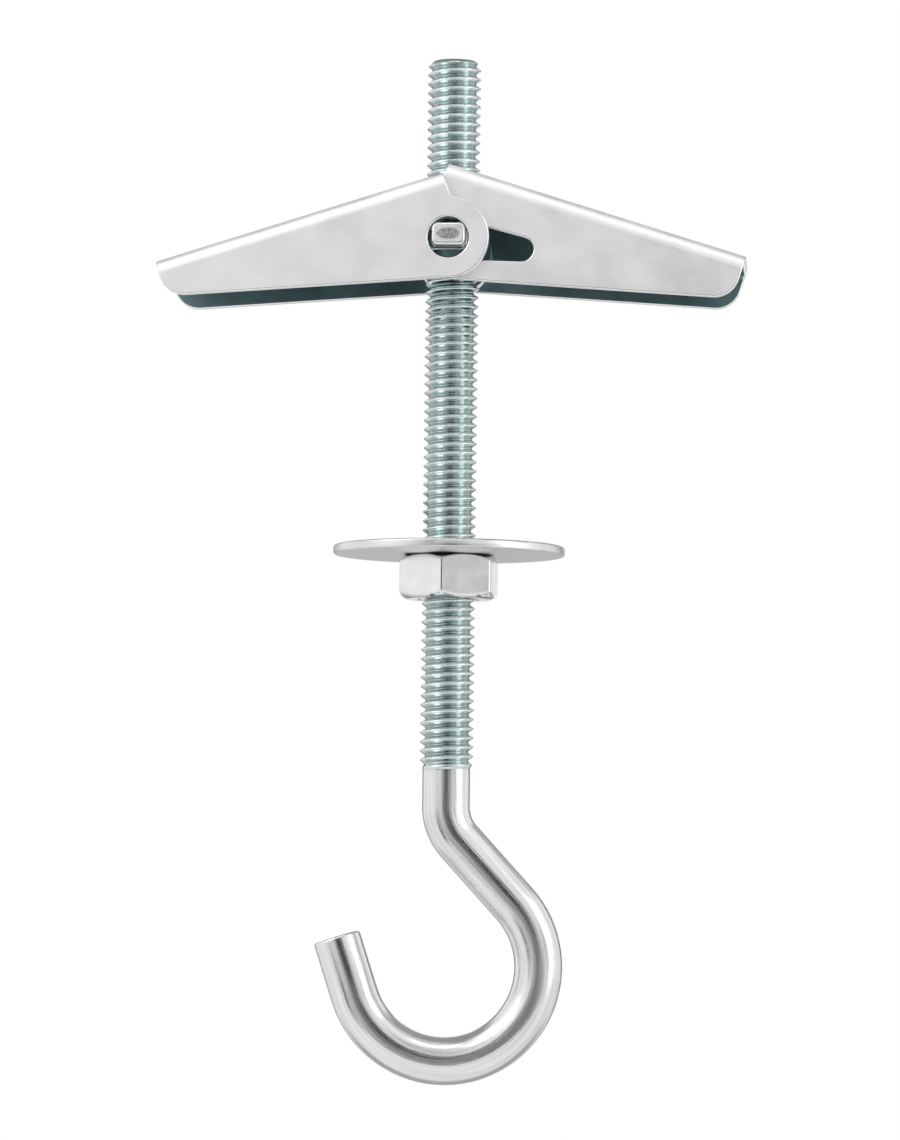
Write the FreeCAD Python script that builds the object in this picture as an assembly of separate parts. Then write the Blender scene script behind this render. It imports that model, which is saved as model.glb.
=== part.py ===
import FreeCAD
import Part
import math
import os
from FreeCAD import Vector

# Swag hook on a spring toggle: a bent wire hook with a threaded rod, two sprung wings
# on a trunnion nut above the ceiling, and a washer and a hex nut below it.
# Millimetres. +Z runs up the rod, and the origin is on the rod's axis, in the washer's
# top face, which bears on the ceiling. The hook's plane is XZ and the wings turn about Y.

# Threaded rod and hook, one bent wire
ROD_DIAMETER = 5.9
ROD_ABOVE_CEILING = 53.2
ROD_END_CHAMFER = 0.6
THREAD_LENGTH = 77.0
THREAD_RUNOUT = 0.8
THREAD_PITCH = 1.0
THREAD_ANGLE = 60.0
THREAD_CREST_FLAT = 0.125
THREAD_ROOT_FLAT = 0.167
WIRE_DIAMETER = 5.2
SHANK_LENGTH = 6.6
BEND_ANGLE = 42.4
BEND_RADIUS = 5.5
HOOK_RADIUS = 10.2
HOOK_SWEEP = 204.4
HOOK_END_LENGTH = 6.5
HOOK_END_CHAMFER = 0.3
THREAD_CLEARANCE = 0.05

# Washer and hex nut
WASHER_DIAMETER = 25.2
WASHER_THICKNESS = 1.0
WASHER_CLEARANCE = 0.35
WASHER_EDGE_RADIUS = 0.25
NUT_ACROSS_FLATS = 10.0
NUT_HEIGHT = 4.8
NUT_FACE_DIAMETER = 9.3
NUT_CHAMFER_ANGLE = 30.0
NUT_CORNER_AZIMUTH = -94.0
NUT_COUNTERSINK = 0.4

# Trunnion nut: a flat strip with a threaded eye, shoulders and two tabs
PIVOT_HEIGHT = 33.0
EYE_WALL = 0.9
EYE_HEIGHT = 4.8
STRIP_THICKNESS = 2.5
SHOULDER_WIDTH = 4.8
SHOULDER_CLEARANCE = 0.2
TAB_WIDTH = 3.7
TAB_ROUND = 0.7
TAB_LIFT = 0.4
TAB_RECESS = 0.15
TAB_CHAMFER = 0.2

# Wings: folded sheet channels, open downwards
SHEET = 0.9
WING_LENGTH = 31.2
WING_SLOPE = 17.4
WING_TAPER = 13.6
OUTER_WEB_HEIGHT = 7.1
INNER_WEB_HEIGHT = 7.9
OUTER_WEB_OVERRUN = 1.5
INNER_WEB_OVERRUN = 2.7
EAR_RADIUS = 4.4
FOLD_RADIUS = 1.6
TIP_RADIUS = 2.8
PIVOT_CLEARANCE = 0.05
NEST_CLEARANCE = 0.2
WEB_CLEARANCE = 0.15
SLOT_LENGTH = 7.9
SLOT_END_DIAMETER = 2.7
SLOT_TILT = 9.0
NOTCH_CLEARANCE = 0.3

# Torsion spring: a coil behind the rod and a leg under each wing's web
SPRING_WIRE = 0.5
SPRING_RADIUS = 3.9
SPRING_TURNS = 2
SPRING_PITCH = 0.53
SPRING_ROD_GAP = 0.12
SPRING_SIDE_GAP = 0.2
SPRING_SEAT_GAP = 0.1
SPRING_LEG_RISE = 10.0
SPRING_LEG_GAP = 0.12

# Worked out from the sizes above
X_AXIS = Vector(1, 0, 0)
Y_AXIS = Vector(0, 1, 0)
Z_AXIS = Vector(0, 0, 1)
ROD_RADIUS = ROD_DIAMETER / 2
WIRE_RADIUS = WIRE_DIAMETER / 2
BORE_RADIUS = ROD_RADIUS + THREAD_CLEARANCE
THREAD_BOTTOM = ROD_ABOVE_CEILING - THREAD_LENGTH
THREAD_LEAN = math.tan(math.radians(THREAD_ANGLE / 2))
THREAD_DEPTH = (THREAD_PITCH - THREAD_CREST_FLAT - THREAD_ROOT_FLAT) / 2 / THREAD_LEAN
EYE_RADIUS = BORE_RADIUS + EYE_WALL
PIVOT = Vector(0, 0, PIVOT_HEIGHT)
TAB_HEIGHT = PIVOT_HEIGHT + TAB_LIFT
TAB_REACH = math.hypot(TAB_WIDTH / 2 - TAB_ROUND, STRIP_THICKNESS / 2 - TAB_ROUND + TAB_LIFT) + TAB_ROUND
PIVOT_HOLE_RADIUS = TAB_REACH + PIVOT_CLEARANCE
COIL_START = ROD_RADIUS + SPRING_ROD_GAP + SPRING_WIRE / 2
COIL_END = COIL_START + SPRING_TURNS * SPRING_PITCH
INNER_WING_INSIDE = COIL_END + SPRING_WIRE / 2 + SPRING_SIDE_GAP
INNER_WING_OUTSIDE = INNER_WING_INSIDE + SHEET
OUTER_WING_INSIDE = INNER_WING_OUTSIDE + NEST_CLEARANCE
OUTER_WING_OUTSIDE = OUTER_WING_INSIDE + SHEET


def cylinder(radius, start, end):
    """Round bar from one point to another."""
    along = end - start
    return Part.makeCylinder(radius, along.Length, start, along)


def cone(start_radius, end_radius, start, end):
    """Tapered round bar from one point to another."""
    along = end - start
    return Part.makeCone(start_radius, end_radius, along.Length, start, along)


def box_about_z(width, depth, low, high):
    """Block centred on the Z axis, from one height to another."""
    return Part.makeBox(width, depth, high - low, Vector(-width / 2, -depth / 2, low))


def in_hook_plane(origin, angle, length):
    """Point in the XZ plane, at an angle above +X from an origin."""
    turn = math.radians(angle)
    return origin + Vector(math.cos(turn), 0, math.sin(turn)) * length


def bent_bar(start, heading, centre, axis, angle):
    """Round wire carried about an axis through a centre, from a start point."""
    section = Part.Face(Part.Wire(Part.makeCircle(WIRE_RADIUS, start, heading)))
    return section.revolve(centre, axis, angle)


def thread_groove(foot):
    """Right-hand groove round the Z axis, from the thread's foot to past the rod's end."""
    turns = math.ceil(THREAD_LENGTH / THREAD_PITCH) + 1
    root = ROD_RADIUS - THREAD_DEPTH
    root_half = THREAD_ROOT_FLAT / 2
    overcut = THREAD_CREST_FLAT / 4
    mouth = ROD_RADIUS + overcut / THREAD_LEAN
    mouth_half = (THREAD_PITCH - THREAD_CREST_FLAT) / 2 + overcut
    corners = [
        Vector(root, 0, root_half),
        Vector(mouth, 0, mouth_half),
        Vector(mouth, 0, -mouth_half),
        Vector(root, 0, -root_half),
    ]
    helix = Part.makeLongHelix(THREAD_PITCH, THREAD_PITCH * turns, root)
    sweep = Part.BRepOffsetAPI.MakePipeShell(Part.Wire(helix.Edges))
    sweep.setFrenetMode(True)
    sweep.add(Part.makePolygon(corners + corners[:1]))
    sweep.build()
    sweep.makeSolid()
    groove = sweep.shape()
    groove.translate(foot + Z_AXIS * THREAD_PITCH / 2)
    return groove


def make_hook():
    """Threaded rod, shank, bend, round hook and straight end, one piece of wire."""
    rod_top = Vector(0, 0, ROD_ABOVE_CEILING)
    chamfer_foot = rod_top - Z_AXIS * ROD_END_CHAMFER
    thread_foot = Vector(0, 0, THREAD_BOTTOM)
    runout_foot = thread_foot - Z_AXIS * THREAD_RUNOUT
    corner = thread_foot - Z_AXIS * SHANK_LENGTH
    bend_start = corner + Z_AXIS * BEND_RADIUS * math.tan(math.radians(BEND_ANGLE / 2))
    bend_centre = bend_start + X_AXIS * BEND_RADIUS
    bend_end = in_hook_plane(bend_centre, 180 + BEND_ANGLE, BEND_RADIUS)
    hook_centre = corner - Z_AXIS * HOOK_RADIUS / math.sin(math.radians(BEND_ANGLE))
    arc_start = in_hook_plane(hook_centre, BEND_ANGLE, HOOK_RADIUS)
    arc_stop_angle = BEND_ANGLE - HOOK_SWEEP
    arc_stop = in_hook_plane(hook_centre, arc_stop_angle, HOOK_RADIUS)
    end_angle = arc_stop_angle - 90
    end_chamfer = in_hook_plane(arc_stop, end_angle, HOOK_END_LENGTH - HOOK_END_CHAMFER)
    end = in_hook_plane(arc_stop, end_angle, HOOK_END_LENGTH)
    lengths = [
        cone(ROD_RADIUS - ROD_END_CHAMFER, ROD_RADIUS, rod_top, chamfer_foot),
        cylinder(ROD_RADIUS, chamfer_foot, thread_foot),
        cone(ROD_RADIUS, WIRE_RADIUS, thread_foot, runout_foot),
        cylinder(WIRE_RADIUS, runout_foot, bend_start),
        bent_bar(bend_start, Z_AXIS, bend_centre, -Y_AXIS, BEND_ANGLE),
        cylinder(WIRE_RADIUS, bend_end, arc_start),
        bent_bar(arc_start, arc_start - bend_end, hook_centre, Y_AXIS, HOOK_SWEEP),
        cylinder(WIRE_RADIUS, arc_stop, end_chamfer),
        cone(WIRE_RADIUS, WIRE_RADIUS - HOOK_END_CHAMFER, end_chamfer, end),
    ]
    return lengths[0].fuse(lengths[1:]).removeSplitter().cut(thread_groove(thread_foot))


def make_washer():
    """Flat ring with the rounded rim that stamping leaves, its top face in the ceiling plane."""
    bottom = Vector(0, 0, -WASHER_THICKNESS)
    disc = cylinder(WASHER_DIAMETER / 2, bottom, Vector())
    rims = [edge for edge in disc.Edges if isinstance(edge.Curve, Part.Circle)]
    disc = disc.makeFillet(WASHER_EDGE_RADIUS, rims)
    return disc.cut(cylinder(ROD_RADIUS + WASHER_CLEARANCE, bottom, Vector()))


def make_hex_nut():
    """Hexagon nut with both ends chamfered round and its bore countersunk."""
    top = Vector(0, 0, -WASHER_THICKNESS)
    bottom = top - Z_AXIS * NUT_HEIGHT
    corner_radius = NUT_ACROSS_FLATS / math.sqrt(3)
    azimuths = [math.radians(NUT_CORNER_AZIMUTH + 60 * side) for side in range(7)]
    corners = [bottom + Vector(math.cos(a), math.sin(a), 0) * corner_radius for a in azimuths]
    prism = Part.Face(Part.makePolygon(corners)).extrude(top - bottom)
    face_radius = NUT_FACE_DIAMETER / 2
    chamfer = (corner_radius - face_radius) * math.tan(math.radians(NUT_CHAMFER_ANGLE))
    upper = top - Z_AXIS * chamfer
    lower = bottom + Z_AXIS * chamfer
    envelope = cone(face_radius, corner_radius, bottom, lower).fuse([
        cylinder(corner_radius, lower, upper),
        cone(corner_radius, face_radius, upper, top),
    ])
    mouth = BORE_RADIUS + NUT_COUNTERSINK
    sink = Z_AXIS * NUT_COUNTERSINK
    bore = cylinder(BORE_RADIUS, bottom, top).fuse([
        cone(mouth, BORE_RADIUS, bottom, bottom + sink),
        cone(BORE_RADIUS, mouth, top - sink, top),
    ])
    return prism.common(envelope.removeSplitter()).cut(bore).removeSplitter()


def make_trunnion_nut():
    """Strip with a collared, threaded eye, shoulders between the ears and tabs that the wings hang on."""
    strip_top = TAB_HEIGHT + STRIP_THICKNESS / 2
    strip_bottom = strip_top - STRIP_THICKNESS
    eye_bottom = strip_top - EYE_HEIGHT
    eye = cylinder(EYE_RADIUS, Vector(0, 0, eye_bottom), Vector(0, 0, strip_top))
    shoulder_depth = 2 * (INNER_WING_INSIDE - SHOULDER_CLEARANCE)
    shoulders = box_about_z(SHOULDER_WIDTH, shoulder_depth, strip_bottom, strip_top)
    tab_depth = 2 * (OUTER_WING_OUTSIDE - TAB_RECESS)
    tabs = box_about_z(TAB_WIDTH, tab_depth, strip_bottom, strip_top)
    long_edges = [edge for edge in tabs.Edges if edge.Curve.Direction.cross(Y_AXIS).Length < 1e-6]
    tabs = tabs.makeFillet(TAB_ROUND, long_edges)
    ends = [edge for face in tabs.Faces if face.normalAt(0, 0).cross(Y_AXIS).Length < 0.5
            for edge in face.Edges]
    tabs = tabs.makeChamfer(TAB_CHAMFER, ends)
    bore = cylinder(BORE_RADIUS, Vector(0, 0, eye_bottom), Vector(0, 0, strip_top))
    return eye.fuse([shoulders, tabs]).removeSplitter().cut(bore)


def flange_outline(web_height, overrun):
    """Side face of a wing, in XZ, with the pivot at the origin and the web along +X."""
    taper = math.radians(WING_TAPER)
    open_edge = Vector(math.cos(taper), 0, math.sin(taper))
    ear_foot = Vector(math.sin(taper), 0, -math.cos(taper)) * EAR_RADIUS
    tip_drop = ear_foot + open_edge * ((WING_LENGTH - ear_foot.x) / open_edge.x)
    ear_head = Vector(-overrun, 0, math.sqrt(EAR_RADIUS**2 - overrun**2))
    web_root = Vector(-overrun, 0, web_height)
    web_tip = Vector(WING_LENGTH, 0, web_height)
    ear_side = Vector(-EAR_RADIUS, 0, 0)
    return Part.Face(Part.Wire([
        Part.makeLine(web_root, web_tip),
        Part.makeLine(web_tip, tip_drop),
        Part.makeLine(tip_drop, ear_foot),
        Part.Arc(ear_foot, ear_side, ear_head).toShape(),
        Part.makeLine(ear_head, web_root),
    ]))


def edges_along(solid, direction, x, z):
    """Straight edges of a solid that run one way through a point of the XZ plane."""
    found = []
    for edge in solid.Edges:
        if not isinstance(edge.Curve, Part.Line):
            continue
        offset = edge.CenterOfMass - Vector(x, 0, z)
        across = offset - Y_AXIS * offset.y - direction * offset.dot(direction)
        if edge.Curve.Direction.cross(direction).Length < 1e-6 and across.Length < 1e-6:
            found.append(edge)
    return found


def wing_channel(web_height, inside, overrun):
    """Sheet folded to a channel: a web above and a tapered flange each side of the rod."""
    outside = inside + SHEET
    block = flange_outline(web_height, overrun).extrude(Y_AXIS * 2 * outside)
    block.translate(-Y_AXIS * outside)
    taper = math.radians(WING_TAPER)
    tip_z = WING_LENGTH * math.tan(taper) - EAR_RADIUS / math.cos(taper)
    block = block.makeFillet(TIP_RADIUS, edges_along(block, Y_AXIS, WING_LENGTH, tip_z))
    block = block.makeFillet(FOLD_RADIUS, edges_along(block, X_AXIS, 0, web_height))
    reach = WING_LENGTH + EAR_RADIUS
    hollow_top = web_height - SHEET
    hollow = box_about_z(2 * reach, 2 * inside, -reach, hollow_top)
    hollow = hollow.makeFillet(FOLD_RADIUS - SHEET, edges_along(hollow, X_AXIS, 0, hollow_top))
    return block.cut(hollow)


def round_hole(outside):
    """Drill through both ears at the pivot."""
    return cylinder(PIVOT_HOLE_RADIUS, -Y_AXIS * outside, Y_AXIS * outside)


def teardrop_slot(outside):
    """Cut through the near ear only: a pivot hole drawn out along the flange to a smaller round end."""
    small = SLOT_END_DIAMETER / 2
    lean = math.acos((PIVOT_HOLE_RADIUS - small) / SLOT_LENGTH)
    far = X_AXIS * SLOT_LENGTH
    upper = Vector(math.cos(lean), 0, math.sin(lean))
    lower = Vector(math.cos(lean), 0, -math.sin(lean))
    hole_top = upper * PIVOT_HOLE_RADIUS
    hole_back = X_AXIS * -PIVOT_HOLE_RADIUS
    hole_foot = lower * PIVOT_HOLE_RADIUS
    outline = Part.Wire([
        Part.makeLine(hole_top, far + upper * small),
        Part.Arc(far + upper * small, far + X_AXIS * small, far + lower * small).toShape(),
        Part.makeLine(far + lower * small, hole_foot),
        Part.Arc(hole_foot, hole_back, hole_top).toShape(),
    ])
    slot = Part.Face(outline).extrude(-Y_AXIS * outside)
    slot.rotate(Vector(), Y_AXIS, -SLOT_TILT)
    return slot


def place_wing(wing, side):
    """Turn a wing down to its open slope, set it on the pivot and notch its web round the rod."""
    wing.rotate(Vector(), Y_AXIS, WING_SLOPE)
    if side < 0:
        wing.rotate(Vector(), Z_AXIS, 180)
    wing.translate(PIVOT)
    notch = cylinder(ROD_RADIUS + NOTCH_CLEARANCE, PIVOT, PIVOT + Z_AXIS * (WING_LENGTH + EAR_RADIUS))
    return wing.cut(notch)


def web_end_cut():
    """Cut that ends the outer wing's web short of the inner wing's flanges when both are open."""
    slope = math.radians(WING_SLOPE)
    fold_foot = OUTER_WEB_HEIGHT - FOLD_RADIUS
    reach = INNER_WEB_OVERRUN + WEB_CLEARANCE * math.cos(slope) - fold_foot * math.sin(2 * slope)
    cut = box_about_z(2 * EAR_RADIUS, 2 * OUTER_WING_INSIDE, EAR_RADIUS, OUTER_WEB_HEIGHT)
    cut.translate(X_AXIS * (reach / math.cos(2 * slope) - EAR_RADIUS))
    return cut


def make_outer_wing():
    """Left wing, with round pivot holes, wide enough to fold over the other."""
    channel = wing_channel(OUTER_WEB_HEIGHT, OUTER_WING_INSIDE, OUTER_WEB_OVERRUN)
    return place_wing(channel.cut([round_hole(OUTER_WING_OUTSIDE), web_end_cut()]), -1)


def make_inner_wing():
    """Right wing, with a round pivot hole and a teardrop slot that lets the other tab in."""
    channel = wing_channel(INNER_WEB_HEIGHT, INNER_WING_INSIDE, INNER_WEB_OVERRUN)
    holes = [round_hole(INNER_WING_OUTSIDE), teardrop_slot(INNER_WING_OUTSIDE)]
    return place_wing(channel.cut(holes), 1)


def spring_leg_length(web_height, tangent_point):
    """Length of a leg from where it leaves the coil to just under a wing's web."""
    rise = math.radians(SPRING_LEG_RISE)
    slope = math.radians(WING_SLOPE)
    start = -abs(tangent_point.x) * math.sin(slope) + tangent_point.z * math.cos(slope)
    room = web_height - SHEET - SPRING_LEG_GAP - start
    return (room - SPRING_WIRE / 2 * math.cos(rise + slope)) / math.sin(rise + slope)


def make_torsion_spring():
    """Coil hanging on the far shoulder, closed by folding, with a straight leg to each side."""
    seat_radius = SPRING_RADIUS - SPRING_WIRE / 2 - SPRING_SEAT_GAP
    eye_reach = max(0, EYE_RADIUS**2 - (COIL_START - SPRING_WIRE / 2)**2)
    seat_width = max(SHOULDER_WIDTH / 2, math.sqrt(eye_reach))
    coil_height = TAB_LIFT + STRIP_THICKNESS / 2 - math.sqrt(seat_radius**2 - seat_width**2)
    rise = math.radians(SPRING_LEG_RISE)
    turned = SPRING_TURNS - SPRING_LEG_RISE / 180
    first = Vector(-math.sin(rise), 0, math.cos(rise))
    ahead = Vector(math.cos(rise), 0, math.sin(rise))
    coil_foot = Vector(0, COIL_START, coil_height)
    coil = Part.makeHelix(SPRING_PITCH, SPRING_PITCH * turned, SPRING_RADIUS, 0, True)
    coil.Placement = FreeCAD.Placement(coil_foot, FreeCAD.Rotation(first, ahead, Y_AXIS))
    near = first * SPRING_RADIUS + coil_foot
    far = Vector(-near.x, COIL_START + SPRING_PITCH * turned, near.z)
    lead = Y_AXIS * SPRING_PITCH / (2 * math.pi * SPRING_RADIUS)
    right_end = near + (ahead - lead) * spring_leg_length(INNER_WEB_HEIGHT, near)
    left_way = Vector(-ahead.x, 0, ahead.z) + lead
    left_end = far + left_way * spring_leg_length(OUTER_WEB_HEIGHT, far)
    route = Part.Wire([Part.makeLine(right_end, near), *coil.Edges, Part.makeLine(far, left_end)])
    section = Part.Wire(Part.makeCircle(SPRING_WIRE / 2, right_end, near - right_end))
    sweep = Part.BRepOffsetAPI.MakePipeShell(route)
    sweep.setBiNormalMode(Y_AXIS)
    sweep.add(section)
    sweep.build()
    sweep.makeSolid()
    spring = sweep.shape()
    spring.translate(PIVOT)
    return spring


NODES = {
    "hook": make_hook,
    "washer": make_washer,
    "hex_nut": make_hex_nut,
    "trunnion_nut": make_trunnion_nut,
    "outer_wing": make_outer_wing,
    "inner_wing": make_inner_wing,
    "torsion_spring": make_torsion_spring,
}

os.makedirs("parts", exist_ok=True)
for name, make in NODES.items():
    make().exportStep(os.path.join("parts", name + ".step"))
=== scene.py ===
import math
from collections import namedtuple

import bmesh
import bpy
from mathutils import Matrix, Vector


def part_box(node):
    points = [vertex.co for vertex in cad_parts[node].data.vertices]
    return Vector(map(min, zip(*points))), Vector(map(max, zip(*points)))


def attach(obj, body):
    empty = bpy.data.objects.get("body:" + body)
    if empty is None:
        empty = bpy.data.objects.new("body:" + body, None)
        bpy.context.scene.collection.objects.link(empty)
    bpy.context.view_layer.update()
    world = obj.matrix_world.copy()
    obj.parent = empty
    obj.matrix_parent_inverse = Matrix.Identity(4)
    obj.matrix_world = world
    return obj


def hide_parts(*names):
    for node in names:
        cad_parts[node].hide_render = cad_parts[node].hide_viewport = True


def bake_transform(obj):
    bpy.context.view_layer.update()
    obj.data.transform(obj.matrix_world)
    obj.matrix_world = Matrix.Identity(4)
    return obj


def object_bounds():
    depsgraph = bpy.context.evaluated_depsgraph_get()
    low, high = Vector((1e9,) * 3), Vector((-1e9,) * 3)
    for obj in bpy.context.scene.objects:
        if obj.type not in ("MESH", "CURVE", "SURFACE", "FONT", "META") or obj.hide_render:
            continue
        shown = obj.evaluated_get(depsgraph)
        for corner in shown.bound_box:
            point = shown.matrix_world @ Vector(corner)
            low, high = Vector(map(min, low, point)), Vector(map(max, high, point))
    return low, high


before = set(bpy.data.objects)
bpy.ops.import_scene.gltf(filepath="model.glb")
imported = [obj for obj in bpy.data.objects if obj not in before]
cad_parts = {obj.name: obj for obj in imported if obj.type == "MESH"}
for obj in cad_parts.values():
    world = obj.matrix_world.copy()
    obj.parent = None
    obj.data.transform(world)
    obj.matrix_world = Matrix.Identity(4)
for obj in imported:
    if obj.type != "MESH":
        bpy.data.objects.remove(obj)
cad_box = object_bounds()

# Metres throughout. +Z runs up the rod, and the hook and the open wings lie in the XZ plane.
MM = 0.001
Y_AXIS = Vector((0, 1, 0))
Z_AXIS = Vector((0, 0, 1))

# Threaded rod and hook wire
ROD_RADIUS = 2.95 * MM
ROD_END_CHAMFER = 0.6 * MM
THREAD_PITCH = 1.0 * MM
THREAD_LENGTH = 77.0 * MM
THREAD_RUNOUT = 0.8 * MM
CREST_WIDTH = 0.125 * MM
ROOT_WIDTH = 0.167 * MM
FLANK_LEAN = math.tan(math.radians(30))
THREAD_ROUNDING = 0.14 * MM
WIRE_RADIUS = 2.6 * MM
SHANK_LENGTH = 6.6 * MM
BEND_ANGLE = math.radians(42.4)
BEND_RADIUS = 5.5 * MM
HOOK_RADIUS = 10.2 * MM
HOOK_SWEEP = math.radians(204.4)
HOOK_END_LENGTH = 6.5 * MM
HOOK_END_ROUND = 0.3 * MM

# Torsion spring
SPRING_WIRE_RADIUS = 0.25 * MM
SPRING_RADIUS = 3.9 * MM
SPRING_TURNS = 2
SPRING_PITCH = 0.53 * MM
SPRING_LEG_RISE = math.radians(10)
SPRING_LEG_FLEX = 2.5 * MM
SPRING_END_ROUND = 0.1 * MM
COIL_START = 3.32 * MM

# Sheet of the wings, strip of the trunnion nut, and the sheared oval on the ends of its tabs
SHEET = 0.9 * MM
STRIP = 2.5 * MM
SHEAR_WIDTH = 2.6 * MM
SHEAR_HEIGHT = 1.3 * MM

# Edges of the stamped and forged pieces, rounded by tumbling and plating: the way that the width is
# measured, the width, and the distance within which points are merged first. The washer's rims are
# round in its solid, so it has no width.
EDGES = {
    "outer_wing": ("OFFSET", 0.16 * MM, 0.12 * MM),
    "inner_wing": ("OFFSET", 0.16 * MM, 0.12 * MM),
    "trunnion_nut": ("OFFSET", 0.12 * MM, 0.12 * MM),
    "hex_nut": ("ABSOLUTE", 0.22 * MM, 0.001 * MM),
    "washer": ("ABSOLUTE", 0.0, 0.001 * MM),
}
EDGE_SEGMENTS = 3
EDGE_LIMIT = math.radians(40)
EDGE_SLOT = 1
FLAT_LIMIT = math.radians(0.3)
FLAT_WEIGHT = 100

# Mesh fineness
THREAD_COLUMNS = 48
THREAD_ROWS = 16
WIRE_SIDES = 48
SPRING_SIDES = 16
ROUND_STEPS = 4
FLEX_STEPS = 4
ARC_STEP = math.radians(3)
COIL_STEP = math.radians(6)
SMOOTH_LIMIT = math.radians(65)
SAME_HEIGHT = 0.0001 * MM

# Turns of thread that are made beyond its foot and the rod's top, and then cut off
SPARE_TURNS_BELOW = 4
SPARE_TURNS_ABOVE = 1

# Colours of the plate, each pair from its darker to its lighter spots, and the painted shade laid in the
# thread's roots, inside the wings' channel and on the strip between the wings
WIRE_SHADES = ((0.64, 0.655, 0.67), (0.84, 0.85, 0.86))
CREST_SHADES = ((0.76, 0.83, 0.825), (0.82, 0.88, 0.875))
# Painted shade in the thread's roots, dark teal, standing for the shade that falls between the crests
ROOT_PAINTED_SHADE = (0.38, 0.47, 0.46)
SHEET_SHADES = ((0.95, 0.945, 0.95), (0.98, 0.975, 0.98))
# Painted shade inside the wings' folded channel, dark teal, where little light reaches
CHANNEL_PAINTED_SHADES = ((0.16, 0.25, 0.265), (0.22, 0.32, 0.335))
STRIP_SHADES = ((0.86, 0.86, 0.86), (0.96, 0.96, 0.955))
SHEARED_SHADES = ((0.20, 0.21, 0.22), (0.62, 0.62, 0.62))
# Painted shade on the part of the strip that lies between the wings, dark teal
STRIP_PAINTED_SHADE = (0.17, 0.26, 0.275)
NUT_SHADES = ((0.74, 0.74, 0.745), (0.84, 0.84, 0.84))
WASHER_SHADES = ((0.66, 0.665, 0.67), (0.77, 0.775, 0.78))
EDGE_SHADES = ((0.86, 0.86, 0.865), (0.93, 0.93, 0.93))
SPRING_SHADES = ((0.80, 0.82, 0.83), (0.92, 0.93, 0.94))

# Roughness of the plate, from its brighter to its duller spots
WIRE_ROUGHNESS = (0.10, 0.22)
SHEET_ROUGHNESS = (0.42, 0.52)
STRIP_ROUGHNESS = (0.38, 0.52)
NUT_ROUGHNESS = (0.12, 0.22)
WASHER_ROUGHNESS = (0.28, 0.42)
EDGE_ROUGHNESS = (0.16, 0.28)
SPRING_ROUGHNESS = (0.12, 0.22)

# Scales of the coordinates under drawn and rolled lines, small along the lines
WIRE_GRAIN = (1, 1, 0.03)
SHEET_GRAIN = (0.04, 1, 1)
SPRING_GRAIN = (1, 1, 0.05)

# Patterns in the plate: the size of their features, the detail in them, and the depth of their
# relief, which is 0 where they show in colour or gloss alone
Pattern = namedtuple("Pattern", "size detail depth", defaults=[0])
WIRE_LINES = Pattern(0.25 * MM, 3, 0.022 * MM)
WIRE_CRYSTALS = Pattern(0.12 * MM, 2, 0.007 * MM)
CREST_CLOUDS = Pattern(3 * MM, 3)
SHEET_CLOUDS = Pattern(4 * MM, 4)
SHEET_LINES = Pattern(0.3 * MM, 3, 0.002 * MM)
SHEET_CRYSTALS = Pattern(0.15 * MM, 2, 0.002 * MM)
STRIP_CLOUDS = Pattern(0.9 * MM, 4, 0.02 * MM)
STRIP_CRYSTALS = Pattern(0.2 * MM, 3, 0.006 * MM)
NUT_CLOUDS = Pattern(1.8 * MM, 4, 0.012 * MM)
NUT_CRYSTALS = Pattern(0.15 * MM, 2, 0.003 * MM)
WASHER_CLOUDS = Pattern(2.5 * MM, 5)
WASHER_CRYSTALS = Pattern(0.2 * MM, 3, 0.004 * MM)
EDGE_CLOUDS = Pattern(0.8 * MM, 3, 0.004 * MM)
SPRING_LINES = Pattern(0.1 * MM, 3, 0.002 * MM)
NOISE_ROUGHNESS = 0.55

# Range in which most values of a noise lie
NOISE_RANGE = (0.3, 0.7)

# Slopes between which a face goes from turned inward to not
FACING_RANGE = (-0.5, -0.3)

# Shares of the sheared oval's reach over which it fades, and the width of a soft line
SHEAR_FADE = (0.8, 1.1)
SOFT_LINE = 0.05 * MM

# Sockets of a Mix node that carry colours
COLOUR_A = 6
COLOUR_B = 7
COLOUR_RESULT = 2

# Photograph's view, floor and surroundings. The camera's sensor alone is in millimetres.
CAMERA_AZIMUTH = 4.5
CAMERA_ELEVATION = -4.0
CAMERA_DISTANCE = 0.52
CAMERA_ROLL = math.radians(0.7)
CAMERA_NEAR = 0.01
FRAME_HEIGHT = 0.124
SENSOR = 36.0
FLOOR_DROP = 0.10
FLOOR_SIDE = 12.0
FLOOR_FADE = (0.35, 1.4)
FLOOR_TONES = (0.92, 0.94)
FLOOR_GRAIN = Pattern(2 * MM, 3)
AMBIENT = 0.75

# Softboxes: azimuth and elevation in degrees, distance, width, height, and brightness against white
SOFTBOXES = {
    "key_softbox": (-55, 35, 0.9, 0.45, 0.6, 2.0),
    "side_softbox": (70, 10, 0.8, 0.3, 0.8, 1.5),
    "top_softbox": (0, 85, 0.8, 0.5, 0.5, 1.2),
}

# Cards that only reflections see: azimuth and elevation in degrees, distance, width, height, grey
# tone, and the share of the reach at which the card starts to fade
CARDS = {
    "front_low_card": (6, -20, 0.33, 0.62, 0.44, 0.2, 0.14),
    "front_high_card": (4, 6, 0.32, 0.36, 0.22, 0.03, 0.3),
    "front_top_card": (0, 40, 0.4, 0.6, 0.2, 0.5, 0.4),
    "front_left_card": (-40, -18, 0.33, 0.12, 0.26, 0.1, 0.2),
    "front_right_card": (49, 3, 0.32, 0.13, 0.14, 0.65, 0.5),
    "back_left_card": (-152, 0, 0.8, 0.34, 1.0, 0.22, 0.9),
    "back_right_card": (152, 0, 0.8, 0.34, 1.0, 0.22, 0.9),
    "back_high_card": (180, 60, 0.4, 0.9, 0.75, 0.38, 0.7),
    "back_low_card": (180, -22, 0.36, 0.7, 0.24, 0.35, 0.5),
    "low_card": (180, -65, 0.16, 0.4, 0.2, 0.45, 0.5),
}

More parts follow.
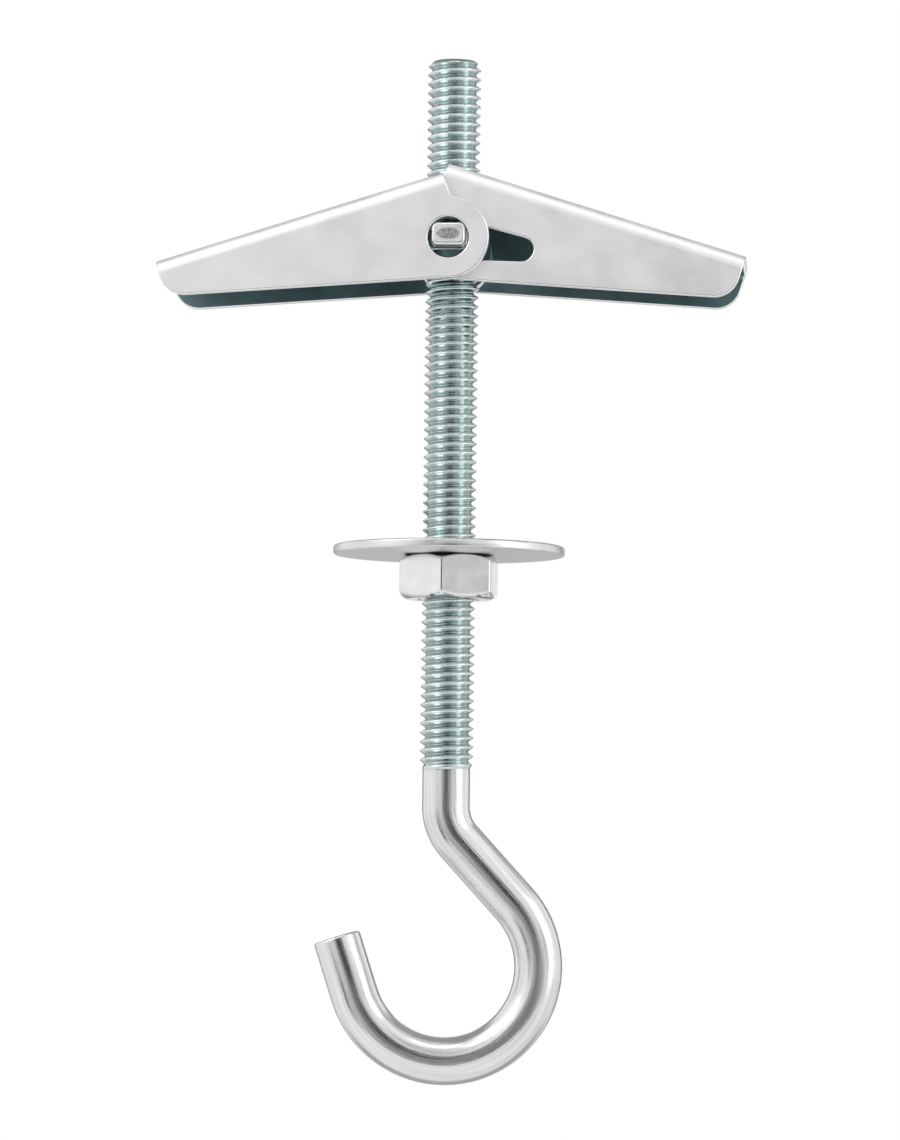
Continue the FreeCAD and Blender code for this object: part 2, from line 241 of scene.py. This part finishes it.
# Places and sizes that follow from the frame and the values above. The thread fades out within one
# run-out below its foot, and under that it is cut level and joined to the shank.
ROD_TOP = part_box("hook")[1].z
THREAD_FOOT = ROD_TOP - THREAD_LENGTH
THREAD_CUT = THREAD_FOOT - 1.5 * THREAD_RUNOUT
SHANK_TOP = THREAD_FOOT - 2 * THREAD_RUNOUT
THREAD_DEPTH = (THREAD_PITCH - CREST_WIDTH - ROOT_WIDTH) / 2 / FLANK_LEAN
SPRING_LOW, SPRING_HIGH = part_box("torsion_spring")
MIDDLE = (cad_box[0] + cad_box[1]) / 2


def softly_positive(value, rounding):
    """Value where it is above zero and zero below, with a rounded corner between."""
    return (value + math.hypot(value, rounding)) / 2


def smooth_step(share):
    """Ease from 0 to 1 as a share goes from 0 to 1."""
    share = min(max(share, 0.0), 1.0)
    return share * share * (3 - 2 * share)


def thread_radius(phase, height):
    """Rolled profile over one pitch, chamfered at the rod's end and faded into the shank below."""
    from_crest = min(phase, 1 - phase) * THREAD_PITCH
    fall = softly_positive((from_crest - CREST_WIDTH / 2) / FLANK_LEAN, THREAD_ROUNDING)
    depth = THREAD_DEPTH - softly_positive(THREAD_DEPTH - fall, THREAD_ROUNDING)
    chamfer = ROD_RADIUS - ROD_END_CHAMFER + ROD_TOP - height
    rolled = min(ROD_RADIUS - depth, chamfer)
    faded = smooth_step((THREAD_FOOT + THREAD_RUNOUT - height) / (2 * THREAD_RUNOUT))
    return rolled + (WIRE_RADIUS - rolled) * faded


def new_mesh():
    """Empty mesh, and the layer in which its points keep their places on the unbent wire."""
    mesh = bmesh.new()
    return mesh, mesh.verts.layers.float_vector.new("straight")


def add_thread(mesh, straight):
    """Right-hand ribbon of the rolled thread, with each row of points along the helix."""
    last_turn = math.ceil(THREAD_LENGTH / THREAD_PITCH) + SPARE_TURNS_ABOVE
    strips = []
    for step in range(-SPARE_TURNS_BELOW * THREAD_COLUMNS, last_turn * THREAD_COLUMNS + 1):
        turn = step / THREAD_COLUMNS
        outward = Vector((math.cos(math.tau * turn), math.sin(math.tau * turn), 0))
        strip = []
        for row in range(THREAD_ROWS):
            phase = row / THREAD_ROWS
            height = THREAD_FOOT + (turn + phase) * THREAD_PITCH
            vert = mesh.verts.new(outward * thread_radius(phase, height) + Z_AXIS * height)
            vert[straight] = vert.co
            strip.append(vert)
        strips.append(strip)
    for index in range(len(strips) - THREAD_COLUMNS - 1):
        here = strips[index] + strips[index + THREAD_COLUMNS][:1]
        there = strips[index + 1] + strips[index + 1 + THREAD_COLUMNS][:1]
        for row in range(THREAD_ROWS):
            mesh.faces.new((here[row], there[row], there[row + 1], here[row + 1]))
    loose = [vert for vert in mesh.verts if not vert.link_faces]
    bmesh.ops.delete(mesh, geom=loose, context="VERTS")


def cut_level(mesh, height, side):
    """Cut a mesh level, drop what lies on one side (1 above, -1 below) and return the cut's edges."""
    everything = [*mesh.verts, *mesh.edges, *mesh.faces]
    bmesh.ops.bisect_plane(
        mesh, geom=everything, plane_co=Z_AXIS * height, plane_no=Z_AXIS * side, clear_outer=True
    )
    return [
        edge for edge in mesh.edges
        if edge.is_boundary and all(abs(vert.co.z - height) < SAME_HEIGHT for vert in edge.verts)
    ]


def arc_stations(centre, radius, start, stop):
    """Centres and headings round an arc of the XZ plane."""
    steps = math.ceil(abs(stop - start) / ARC_STEP)
    way = math.copysign(1, stop - start)
    for step in range(steps + 1):
        angle = start + (stop - start) * step / steps
        outward = Vector((math.cos(angle), 0, math.sin(angle)))
        yield centre + outward * radius, Vector((-outward.z, 0, outward.x)) * way


def rounded_end(centre, heading, radius, rounding):
    """Stations that close a tube's end with a rounded rim."""
    for step in range(ROUND_STEPS + 1):
        angle = math.pi / 2 * step / ROUND_STEPS
        place = centre + heading * rounding * (math.sin(angle) - 1)
        yield place, heading, radius - rounding * (1 - math.cos(angle))


def hook_stations():
    """Centres, headings and radii down the shank, round the bend and the hook, to its straight end."""
    corner = THREAD_FOOT - SHANK_LENGTH
    bend_centre = Vector((BEND_RADIUS, 0, corner + BEND_RADIUS * math.tan(BEND_ANGLE / 2)))
    hook_centre = Z_AXIS * (corner - HOOK_RADIUS / math.sin(BEND_ANGLE))
    path = [(Z_AXIS * SHANK_TOP, -Z_AXIS)]
    path += arc_stations(bend_centre, BEND_RADIUS, math.pi, math.pi + BEND_ANGLE)
    path += arc_stations(hook_centre, HOOK_RADIUS, BEND_ANGLE, BEND_ANGLE - HOOK_SWEEP)
    last, heading = path[-1]
    stations = [(place, ahead, WIRE_RADIUS) for place, ahead in path]
    end = last + heading * HOOK_END_LENGTH
    return stations + list(rounded_end(end, heading, WIRE_RADIUS, HOOK_END_ROUND))


def add_tube(mesh, straight, stations, sides):
    """Rings of points round the stations, joined to a tube. Each keeps its place on the unbent wire."""
    rings = []
    along = stations[0][0].z
    before = stations[0][0]
    for centre, heading, radius in stations:
        along -= (centre - before).length
        before = centre
        side = heading.cross(Y_AXIS).normalized()
        over = side.cross(heading)
        ring = []
        for index in range(sides):
            angle = math.tau * index / sides
            vert = mesh.verts.new(centre + (side * math.cos(angle) + over * math.sin(angle)) * radius)
            vert[straight] = Vector((radius * math.cos(angle), radius * math.sin(angle), along))
            ring.append(vert)
        rings.append(ring)
    for upper, lower in zip(rings, rings[1:]):
        for index in range(sides):
            following = (index + 1) % sides
            mesh.faces.new((upper[index], lower[index], lower[following], upper[following]))
    return rings


def ring_edges(mesh, ring):
    """Edges that join a ring's points to each other."""
    following = ring[1:] + ring[:1]
    return [mesh.edges.get(pair) for pair in zip(ring, following)]


def add_object(name, data):
    """New object in the scene."""
    made = bpy.data.objects.new(name, data)
    bpy.context.scene.collection.objects.link(made)
    return made


def finish_piece(name, mesh, material):
    """Object of a finished mesh, smooth but for its sharp edges."""
    bmesh.ops.recalc_face_normals(mesh, faces=mesh.faces[:])
    data = bpy.data.meshes.new(name)
    mesh.to_mesh(data)
    mesh.free()
    data.shade_smooth()
    data.set_sharp_from_angle(angle=SMOOTH_LIMIT)
    data.materials.append(material)
    piece = add_object(name, data)
    return piece


def make_hook(material):
    """Threaded rod, shank and hook as one wire."""
    mesh, straight = new_mesh()
    add_thread(mesh, straight)
    top = cut_level(mesh, ROD_TOP, 1)
    bmesh.ops.holes_fill(mesh, edges=top, sides=0)
    foot = cut_level(mesh, THREAD_CUT, -1)
    rings = add_tube(mesh, straight, hook_stations(), WIRE_SIDES)
    mesh.faces.new(rings[-1])
    bmesh.ops.bridge_loops(mesh, edges=foot + ring_edges(mesh, rings[0]))
    piece = finish_piece("hook_wire", mesh, material)
    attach(piece, "hook")
    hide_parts("hook")


def spring_coil_stations(centre):
    """Left-hand coil about the Y axis, from the right leg's root to the left leg's."""
    first = Vector((-math.sin(SPRING_LEG_RISE), 0, math.cos(SPRING_LEG_RISE)))
    ahead = Vector((math.cos(SPRING_LEG_RISE), 0, math.sin(SPRING_LEG_RISE)))
    sweep = math.tau * SPRING_TURNS - 2 * SPRING_LEG_RISE
    lead = Y_AXIS * SPRING_PITCH / math.tau
    steps = math.ceil(sweep / COIL_STEP)
    stations = []
    for step in range(steps + 1):
        angle = sweep * step / steps
        outward = first * math.cos(angle) - ahead * math.sin(angle)
        onward = -first * math.sin(angle) - ahead * math.cos(angle)
        heading = (onward * SPRING_RADIUS + lead).normalized()
        place = centre + outward * SPRING_RADIUS + lead * angle
        stations.append((place, heading, SPRING_WIRE_RADIUS))
    return stations


def make_spring_wire(name, stations, material):
    """Length of spring wire, closed at both ends."""
    mesh, straight = new_mesh()
    rings = add_tube(mesh, straight, stations, SPRING_SIDES)
    mesh.faces.new(rings[0])
    mesh.faces.new(rings[-1])
    return finish_piece(name, mesh, material)


def make_spring_leg(name, root, heading, reach, material):
    """Straight leg from the coil to under a wing's web."""
    length = (reach - abs(root.x)) / abs(heading.x)
    flexing = [root + heading * SPRING_LEG_FLEX * step / FLEX_STEPS for step in range(FLEX_STEPS + 1)]
    stations = [(place, heading, SPRING_WIRE_RADIUS) for place in flexing]
    stations += rounded_end(root + heading * length, heading, SPRING_WIRE_RADIUS, SPRING_END_ROUND)
    piece = make_spring_wire(name, stations, material)
    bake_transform(piece)


def make_spring(material):
    """Torsion spring behind the rod: the coil stays with the toggle, and each leg reaches to under a
    wing.
    """
    centre = Vector((0, COIL_START, SPRING_LOW.z + SPRING_RADIUS + SPRING_WIRE_RADIUS))
    stations = spring_coil_stations(centre)
    coil = make_spring_wire("spring_coil", stations, material)
    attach(coil, "toggle")
    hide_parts("torsion_spring")
    root, heading, _ = stations[0]
    make_spring_leg("spring_leg_right", root, -heading, SPRING_HIGH.x, material)
    root, heading, _ = stations[-1]
    make_spring_leg("spring_leg_left", root, heading, -SPRING_LOW.x, material)


def soften_edges(solid, kind, width, merge):
    """Round a solid's sharp edges, so that they catch the light as plated edges do."""
    weld = solid.modifiers.new("weld", "WELD")
    weld.merge_threshold = merge
    flats = solid.modifiers.new("flats", "DECIMATE")
    flats.decimate_type = "DISSOLVE"
    flats.angle_limit = FLAT_LIMIT
    if width:
        bevel = solid.modifiers.new("edges", "BEVEL")
        bevel.offset_type = kind
        bevel.width = width
        bevel.segments = EDGE_SEGMENTS
        bevel.limit_method = "ANGLE"
        bevel.angle_limit = EDGE_LIMIT
        bevel.use_clamp_overlap = False
        bevel.material = EDGE_SLOT
    normals = solid.modifiers.new("normals", "WEIGHTED_NORMAL")
    normals.weight = FLAT_WEIGHT


def dress(node, material, edge_material=None):
    """Give a solid its finish, and its rounded edges another where one is named."""
    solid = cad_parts[node]
    solid.data.materials.clear()
    solid.data.materials.append(material)
    solid.data.materials.append(edge_material or material)
    solid.data.shade_smooth()
    soften_edges(solid, *EDGES[node])


def add_node(tree, kind, inputs, **settings):
    """New shader node with its settings made and its inputs set or linked."""
    made = tree.nodes.new(kind)
    for name, value in settings.items():
        setattr(made, name, value)
    for name, value in inputs.items():
        socket = made.inputs[name]
        if isinstance(value, bpy.types.NodeSocket):
            tree.links.new(value, socket)
        else:
            socket.default_value = value
    return made


def place_on_surface(tree):
    """Coordinates of a point in the object's own frame, in metres."""
    return add_node(tree, "ShaderNodeTexCoord", {}).outputs["Object"]


def place_on_wire(tree):
    """Coordinates of a point on the wire as it was before bending, in metres."""
    made = add_node(tree, "ShaderNodeAttribute", {}, attribute_name="straight")
    return made.outputs["Vector"]


def stretched(tree, place, scale):
    """Coordinates scaled along each axis, for a texture with a grain."""
    return add_node(tree, "ShaderNodeMapping", {"Vector": place, "Scale": scale}).outputs["Vector"]


def coordinate(tree, vector, axis):
    """One coordinate of a vector."""
    return add_node(tree, "ShaderNodeSeparateXYZ", {"Vector": vector}).outputs[axis]


def maths(tree, operation, *values):
    """Result of an operation on one or two values."""
    return add_node(tree, "ShaderNodeMath", dict(enumerate(values)), operation=operation).outputs["Value"]


def noise(tree, place, pattern):
    """Cloudy values with the size and the detail of a pattern."""
    inputs = {
        "Vector": place,
        "Scale": 1 / pattern.size,
        "Detail": pattern.detail,
        "Roughness": NOISE_ROUGHNESS,
    }
    return add_node(tree, "ShaderNodeTexNoise", inputs).outputs["Fac"]


def ranged(tree, value, low, high, start=NOISE_RANGE[0], stop=NOISE_RANGE[1]):
    """Value carried from one range to another, held at its ends."""
    inputs = {"Value": value, "From Min": start, "From Max": stop, "To Min": low, "To Max": high}
    return add_node(tree, "ShaderNodeMapRange", inputs).outputs["Result"]


def mixed(tree, share, first, second):
    """Colour between two others, each a link or plain red, green and blue."""
    ends = [end if isinstance(end, bpy.types.NodeSocket) else (*end, 1) for end in (first, second)]
    inputs = {"Factor": share, COLOUR_A: ends[0], COLOUR_B: ends[1]}
    return add_node(tree, "ShaderNodeMix", inputs, data_type="RGBA").outputs[COLOUR_RESULT]


def spotted(tree, value, shades):
    """Colour that follows a noise from the darker to the lighter of two shades."""
    return mixed(tree, ranged(tree, value, 0, 1), *shades)


def bumped(tree, relief):
    """Normal of a surface whose fine relief is a list of noises, each with its pattern."""
    normal = None
    for height, pattern in relief:
        inputs = {"Height": height, "Distance": pattern.depth}
        if normal is not None:
            inputs["Normal"] = normal
        normal = add_node(tree, "ShaderNodeBump", inputs).outputs["Normal"]
    return normal


def within(tree, value, limit):
    """Share that is 1 where a length is within a limit and 0 beyond it."""
    return ranged(tree, value, 1, 0, limit, limit + SOFT_LINE)


def reach_of(tree, place, scale):
    """Distance of a point from an axis or a centre, after each coordinate is scaled."""
    scaled = add_node(tree, "ShaderNodeVectorMath", {0: place, 1: scale}, operation="MULTIPLY")
    length = add_node(tree, "ShaderNodeVectorMath", {0: scaled.outputs["Vector"]}, operation="LENGTH")
    return length.outputs["Value"]


def zinc(name, build, *sizes):
    """Bare metal material whose colour, roughness and relief a function builds."""
    material = bpy.data.materials.new(name)
    material.use_nodes = True
    tree = material.node_tree
    shader = tree.nodes["Principled BSDF"]
    shader.inputs["Metallic"].default_value = 1.0
    colour, roughness, relief = build(tree, *sizes)
    tree.links.new(colour, shader.inputs["Base Color"])
    tree.links.new(roughness, shader.inputs["Roughness"])
    tree.links.new(bumped(tree, relief), shader.inputs["Normal"])
    return material


def wire_finish(tree):
    """Bright plate on drawn wire: die lines and fine crystals, and a rolled thread whose roots carry
    painted shade.
    """
    place = place_on_wire(tree)
    die_lines = noise(tree, stretched(tree, place, WIRE_GRAIN), WIRE_LINES)
    crystals = noise(tree, place, WIRE_CRYSTALS)
    clouds = noise(tree, place, CREST_CLOUDS)
    threaded = ranged(tree, coordinate(tree, place, "Z"), 0, 1, THREAD_FOOT - THREAD_RUNOUT, THREAD_FOOT)
    raised = ranged(tree, reach_of(tree, place, (1, 1, 0)), 0, 1, ROD_RADIUS - THREAD_DEPTH, ROD_RADIUS)
    plain = spotted(tree, die_lines, WIRE_SHADES)
    # Painted shade in the thread's roots, giving way to the plate's own colour on the crests
    rolled = mixed(tree, raised, ROOT_PAINTED_SHADE, spotted(tree, clouds, CREST_SHADES))
    colour = mixed(tree, threaded, plain, rolled)
    roughness = ranged(tree, crystals, *WIRE_ROUGHNESS)
    return colour, roughness, [(die_lines, WIRE_LINES), (crystals, WIRE_CRYSTALS)]


def painted_shade_in_channel(tree, place, inside):
    """Share that is 1 on the faces inside a folded channel, where painted shade goes, and 0 on its
    outside and its edges.
    """
    normal = add_node(tree, "ShaderNodeTexCoord", {}).outputs["Normal"]
    across = coordinate(tree, place, "Y")
    outward = maths(tree, "MULTIPLY", maths(tree, "SIGN", across), coordinate(tree, normal, "Y"))
    inward = ranged(tree, outward, 1, 0, *FACING_RANGE)
    downward = ranged(tree, coordinate(tree, normal, "Z"), 1, 0, *FACING_RANGE)
    between = within(tree, maths(tree, "ABSOLUTE", across), inside)
    return maths(tree, "MULTIPLY", maths(tree, "MAXIMUM", inward, downward), between)


def sheet_finish(tree, inside):
    """Satin plate on rolled sheet: faint clouds and rolling lines outside, and painted shade of dark teal
    inside.
    """
    place = place_on_surface(tree)
    clouds = noise(tree, place, SHEET_CLOUDS)
    rolling = noise(tree, stretched(tree, place, SHEET_GRAIN), SHEET_LINES)
    crystals = noise(tree, place, SHEET_CRYSTALS)
    outside = spotted(tree, clouds, SHEET_SHADES)
    painted_channel_shade = spotted(tree, clouds, CHANNEL_PAINTED_SHADES)
    # Painted shade of dark teal on the faces inside the channel
    colour = mixed(tree, painted_shade_in_channel(tree, place, inside), outside, painted_channel_shade)
    roughness = ranged(tree, clouds, *SHEET_ROUGHNESS)
    return colour, roughness, [(rolling, SHEET_LINES), (crystals, SHEET_CRYSTALS)]


def washer_finish(tree):
    """Dull plate on a stamped ring, mottled."""
    place = place_on_surface(tree)
    clouds = noise(tree, place, WASHER_CLOUDS)
    crystals = noise(tree, place, WASHER_CRYSTALS)
    colour = spotted(tree, clouds, WASHER_SHADES)
    roughness = ranged(tree, clouds, *WASHER_ROUGHNESS)
    return colour, roughness, [(crystals, WASHER_CRYSTALS)]


def nut_finish(tree):
    """Bright plate on a forged nut, softly clouded."""
    place = place_on_surface(tree)
    clouds = noise(tree, place, NUT_CLOUDS)
    crystals = noise(tree, place, NUT_CRYSTALS)
    colour = spotted(tree, clouds, NUT_SHADES)
    roughness = ranged(tree, clouds, *NUT_ROUGHNESS)
    return colour, roughness, [(clouds, NUT_CLOUDS), (crystals, NUT_CRYSTALS)]


def sheared_oval(tree, place):
    """Share that is 1 on an oval in the middle of a tab's end and 0 round it."""
    middle = Z_AXIS * (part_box("trunnion_nut")[1].z - STRIP / 2)
    apart = add_node(tree, "ShaderNodeVectorMath", {0: place, 1: middle}, operation="SUBTRACT")
    scale = (2 / SHEAR_WIDTH, 0, 2 / SHEAR_HEIGHT)
    return ranged(tree, reach_of(tree, apart.outputs["Vector"], scale), 1, 0, *SHEAR_FADE)


def strip_finish(tree):
    """Plate on stamped strip: bright tabs with grey sheared ends, and painted shade of dark teal between
    the wings.
    """
    place = place_on_surface(tree)
    clouds = noise(tree, place, STRIP_CLOUDS)
    crystals = noise(tree, place, STRIP_CRYSTALS)
    bright = spotted(tree, clouds, STRIP_SHADES)
    torn = spotted(tree, crystals, SHEARED_SHADES)
    tabs = mixed(tree, sheared_oval(tree, place), bright, torn)
    # Painted shade of dark teal on the strip between the wings
    away = maths(tree, "ABSOLUTE", coordinate(tree, place, "Y"))
    shaded_between_wings = within(tree, away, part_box("inner_wing")[1].y - SHEET)
    colour = mixed(tree, shaded_between_wings, tabs, STRIP_PAINTED_SHADE)
    roughness = ranged(tree, clouds, *STRIP_ROUGHNESS)
    return colour, roughness, [(clouds, STRIP_CLOUDS), (crystals, STRIP_CRYSTALS)]


def edge_finish(tree):
    """Plate rubbed bright on the edges by tumbling and handling."""
    place = place_on_surface(tree)
    clouds = noise(tree, place, EDGE_CLOUDS)
    colour = spotted(tree, clouds, EDGE_SHADES)
    roughness = ranged(tree, clouds, *EDGE_ROUGHNESS)
    return colour, roughness, [(clouds, EDGE_CLOUDS)]


def spring_finish(tree):
    """Bright drawn spring wire with lengthwise die lines."""
    place = place_on_wire(tree)
    die_lines = noise(tree, stretched(tree, place, SPRING_GRAIN), SPRING_LINES)
    colour = mixed(tree, die_lines, *SPRING_SHADES)
    roughness = ranged(tree, die_lines, *SPRING_ROUGHNESS)
    return colour, roughness, [(die_lines, SPRING_LINES)]


def point_around(azimuth, elevation, distance):
    """Point round the object's middle: azimuth 0 is in front, at -Y, and 90 on the right, in degrees."""
    turn = math.radians(azimuth)
    rise = math.radians(elevation)
    level = Vector((math.sin(turn), -math.cos(turn), 0))
    return MIDDLE + (level * math.cos(rise) + Z_AXIS * math.sin(rise)) * distance


def aim(thing, place):
    """Put a camera, lamp or card at a place, facing the object's middle."""
    thing.location = place
    thing.rotation_euler = (MIDDLE - place).to_track_quat("-Z", "Y").to_euler()


def make_camera():
    """Camera at the photograph's angle, slightly below the object's middle and to its right."""
    lens = bpy.data.cameras.new("camera")
    lens.sensor_width = SENSOR
    lens.lens = SENSOR * CAMERA_DISTANCE / FRAME_HEIGHT
    lens.clip_start = CAMERA_NEAR
    camera = add_object("camera", lens)
    aim(camera, point_around(CAMERA_AZIMUTH, CAMERA_ELEVATION, CAMERA_DISTANCE))
    camera.rotation_euler.rotate_axis("Z", CAMERA_ROLL)
    bpy.context.scene.camera = camera


def make_lamp(name, azimuth, elevation, distance, width, height, level):
    """Softbox whose surface is level times as bright as the white background."""
    light = bpy.data.lights.new(name, "AREA")
    light.shape = "RECTANGLE"
    light.size = width
    light.size_y = height
    light.energy = level * math.pi * width * height
    lamp = add_object(name, light)
    aim(lamp, point_around(azimuth, elevation, distance))


def bare_material(name):
    """Material with an empty node tree."""
    material = bpy.data.materials.new(name)
    material.use_nodes = True
    material.node_tree.nodes.clear()
    return material


def glow(tree, tone):
    """Shader of one even grey, where 1 is white."""
    return add_node(tree, "ShaderNodeEmission", {"Color": (tone, tone, tone, 1)}).outputs["Emission"]


def fade(tree, share, near, far):
    """Finish a material with a surface that goes from one shader to another."""
    blend = add_node(tree, "ShaderNodeMixShader", {"Fac": share, 1: near, 2: far})
    add_node(tree, "ShaderNodeOutputMaterial", {"Surface": blend.outputs["Shader"]})


def make_flat(name, width, height, material):
    """Rectangle of one material round its own origin."""
    corners = [(-1, -1), (1, -1), (1, 1), (-1, 1)]
    points = [(x * width / 2, y * height / 2, 0) for x, y in corners]
    data = bpy.data.meshes.new(name)
    data.from_pydata(points, [], [range(len(points))])
    data.materials.append(material)
    return add_object(name, data)


def make_card(name, azimuth, elevation, distance, width, height, tone, core):
    """Oval card that only reflections see, of one grey at its core and clear at its rim."""
    material = bare_material(name)
    tree = material.node_tree
    reach = reach_of(tree, place_on_surface(tree), (2 / width, 2 / height, 0))
    clear = add_node(tree, "ShaderNodeBsdfTransparent", {}).outputs["BSDF"]
    fade(tree, ranged(tree, reach, 0, 1, core, 1), glow(tree, tone), clear)
    card = make_flat(name, width, height, material)
    aim(card, point_around(azimuth, elevation, distance))
    card.visible_camera = False
    card.visible_diffuse = False
    card.visible_shadow = False


def seen_or_mirrored(tree):
    """Share that is 1 for what the camera sees, straight or in a reflection, and 0 for plain light."""
    path = add_node(tree, "ShaderNodeLightPath", {})
    seen = path.outputs["Is Camera Ray"]
    for kind in ("Is Glossy Ray", "Is Transmission Ray"):
        seen = maths(tree, "MAXIMUM", seen, path.outputs[kind])
    return seen


def make_world():
    """White surroundings, somewhat dimmer as a light than as a background."""
    world = bpy.data.worlds.new("studio")
    bpy.context.scene.world = world
    world.use_nodes = True
    tree = world.node_tree
    background = tree.nodes["Background"]
    background.inputs["Color"].default_value = (1, 1, 1, 1)
    strength = ranged(tree, seen_or_mirrored(tree), AMBIENT, 1, 0, 1)
    tree.links.new(strength, background.inputs["Strength"])


def make_floor():
    """Pale floor that holds the shadow near the object and fades into the white surroundings."""
    material = bare_material("floor")
    tree = material.node_tree
    place = place_on_surface(tree)
    far = ranged(tree, reach_of(tree, place, (1, 1, 1)), 0, 1, *FLOOR_FADE)
    grain = ranged(tree, noise(tree, place, FLOOR_GRAIN), *FLOOR_TONES)
    paper = add_node(tree, "ShaderNodeBsdfDiffuse", {"Color": grain}).outputs["BSDF"]
    fade(tree, far, paper, glow(tree, 1))
    floor = make_flat("floor", FLOOR_SIDE, FLOOR_SIDE, material)
    floor.location.z = cad_box[0].z - FLOOR_DROP


def light_the_stage():
    """Softboxes at the sides and above, and grey cards all round that shape the reflections."""
    for name, setting in SOFTBOXES.items():
        make_lamp(name, *setting)
    for name, setting in CARDS.items():
        make_card(name, *setting)


make_hook(zinc("zinc_wire", wire_finish))
make_spring(zinc("zinc_spring", spring_finish))
edge = zinc("zinc_edge", edge_finish)
for wing in ("outer_wing", "inner_wing"):
    dress(wing, zinc("zinc_" + wing, sheet_finish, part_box(wing)[1].y - SHEET), edge)
dress("trunnion_nut", zinc("zinc_strip", strip_finish), edge)
dress("hex_nut", zinc("zinc_nut", nut_finish))
dress("washer", zinc("zinc_washer", washer_finish))

make_world()
make_floor()
light_the_stage()
make_camera()
bpy.context.scene.view_settings.view_transform = "Standard"
